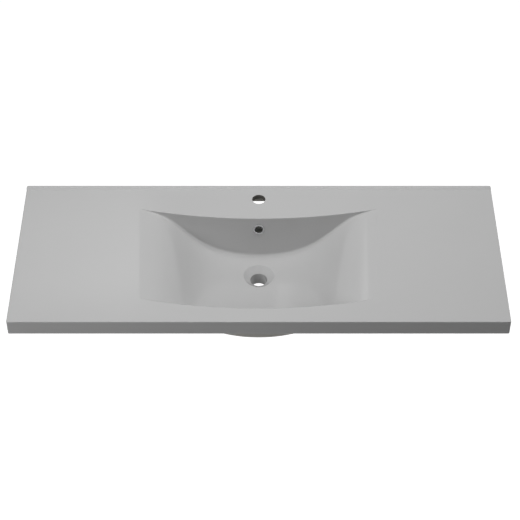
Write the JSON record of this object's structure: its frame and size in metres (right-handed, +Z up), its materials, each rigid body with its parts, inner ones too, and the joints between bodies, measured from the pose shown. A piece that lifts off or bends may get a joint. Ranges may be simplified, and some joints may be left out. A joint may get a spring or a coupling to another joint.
{
  "type": "washbasin",
  "caption": "Wide washbasin top with a flat deck, thin hanging edges, a low lip along the wall and one bowl that hangs between straight side creases; tap hole, conical waste seat and overflow.",
  "frame": {"origin": "middle of the back edge's underside, in the plane that rests on the cabinet", "axes": "+X along the front to the viewer's right, +Y towards the wall, +Z up"},
  "size_m": [1.2, 0.48, 0.167],
  "materials": {
    "cast_mineral": "satin gelcoat over a mineral casting, light grey",
    "chrome_trim": "polished",
    "seal_rubber": "matt",
    "white_plastic": "moulded"
  },
  "bodies": {
    "root": {"basin_casting": "cast_mineral", "overflow_ring": "chrome_trim", "overflow_seal": "seal_rubber", "overflow_elbow": "white_plastic"}
  },
  "joints": []
}
